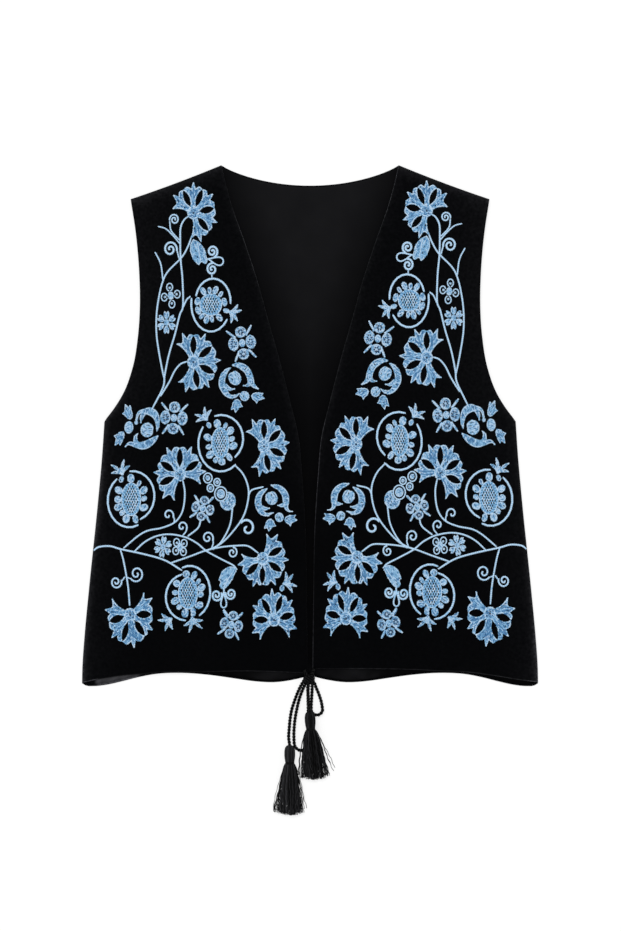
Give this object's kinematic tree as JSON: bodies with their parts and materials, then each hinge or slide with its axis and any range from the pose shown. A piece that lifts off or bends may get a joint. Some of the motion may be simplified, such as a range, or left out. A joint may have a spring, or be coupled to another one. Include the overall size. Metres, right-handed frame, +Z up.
{
  "type": "embroidered folk vest",
  "caption": "Sleeveless open-front velvet folk vest laid flat, with floral embroidery on both fronts and a cord bow with tassels at the hem.",
  "frame": {"origin": "on the surface that the vest lies on, in the middle of its box without the tie", "axes": "+Y from the hem towards the neck, +Z up from the surface, +X to the right of a viewer who looks down at the fronts with the neck away from them"},
  "size_m": [0.5012, 0.712, 0.0122],
  "materials": {
    "velvet": "matt pile with a faint sheen at folds",
    "lining": "soft satin",
    "embroidery": "satin thread",
    "cord": "twisted yarn",
    "tassel_yarn": "silky yarn"
  },
  "bodies": {
    "root": {"back": "velvet", "back_lining": "lining", "front_left": "velvet", "front_right": "velvet", "tie_knot": "cord", "tie_end_left": "cord", "tie_end_right": "cord", "bow_loop_left": "cord", "bow_loop_right": "cord", "tassel_left": "tassel_yarn", "tassel_right": "tassel_yarn"}
  },
  "joints": []
}
